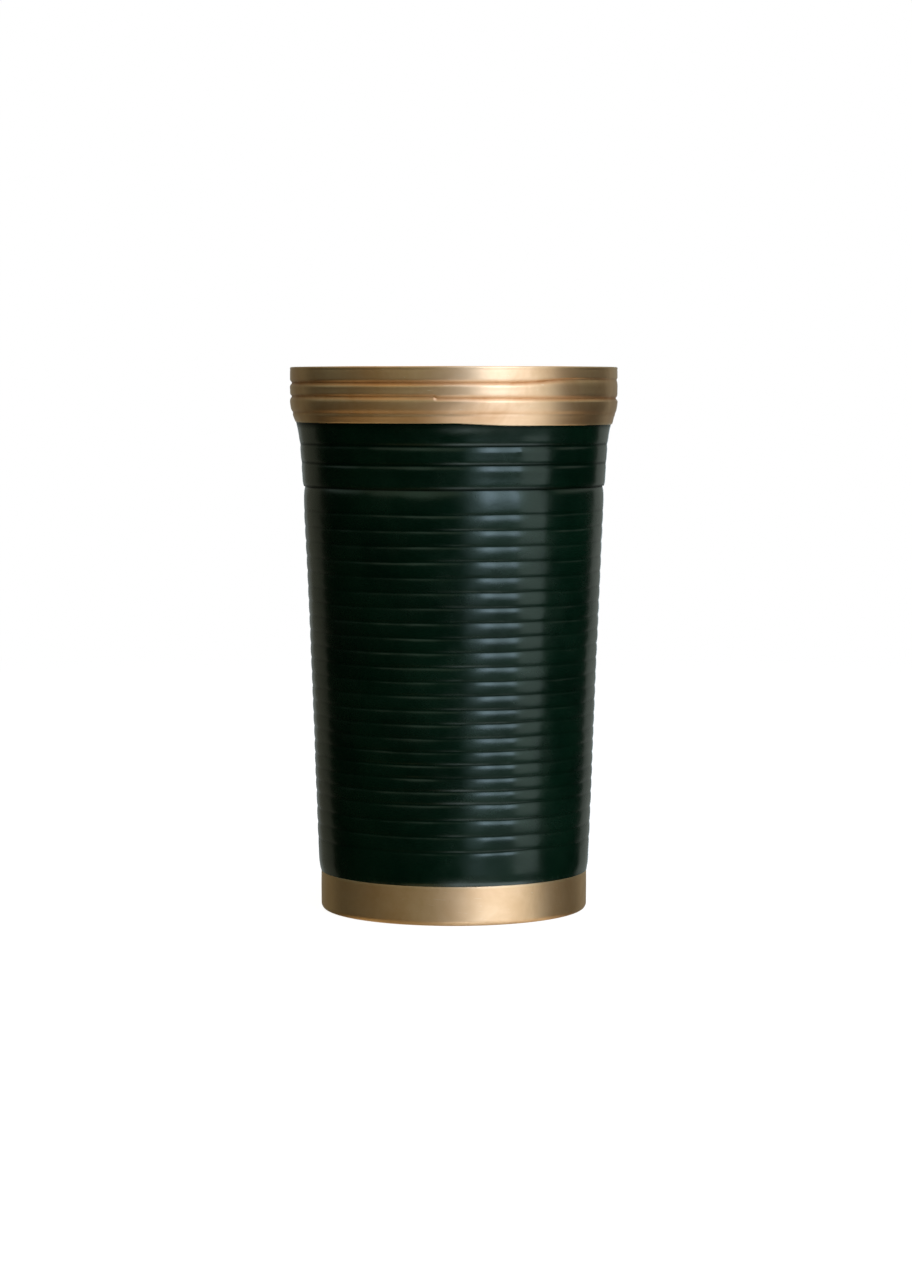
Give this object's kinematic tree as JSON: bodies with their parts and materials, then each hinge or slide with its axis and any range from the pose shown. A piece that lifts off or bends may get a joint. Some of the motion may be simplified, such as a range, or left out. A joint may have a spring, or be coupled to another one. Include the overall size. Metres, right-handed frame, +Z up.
{
  "type": "dice cup",
  "caption": "Tapered leather dice cup with pressed rings, a plain neck band, a grooved brass collar round the mouth and a plain brass ferrule round the base.",
  "frame": {"origin": "centre of the underside, on the table the cup stands on", "axes": "+Z up along the cup's axis, towards the mouth; +Y towards the back, where the leather seams are; +X to the right"},
  "size_m": [0.0602, 0.0602, 0.1],
  "materials": {
    "board": "matte",
    "head_wood": "matte",
    "lip_leather": "satin",
    "felt": "matte",
    "body_leather": "gloss",
    "neck_leather": "gloss",
    "collar_brass": "satin",
    "ferrule_brass": "satin",
    "base_leather": "matte"
  },
  "bodies": {
    "root": {"core_tube": "board", "core_floor": "board", "head_ring": "head_wood", "trip_lip": "lip_leather", "lining_sleeve": "felt", "floor_pad": "felt", "body_cover": "body_leather", "neck_cover": "neck_leather", "rim_collar": "collar_brass", "base_ferrule": "ferrule_brass", "base_pad": "base_leather"}
  },
  "joints": []
}
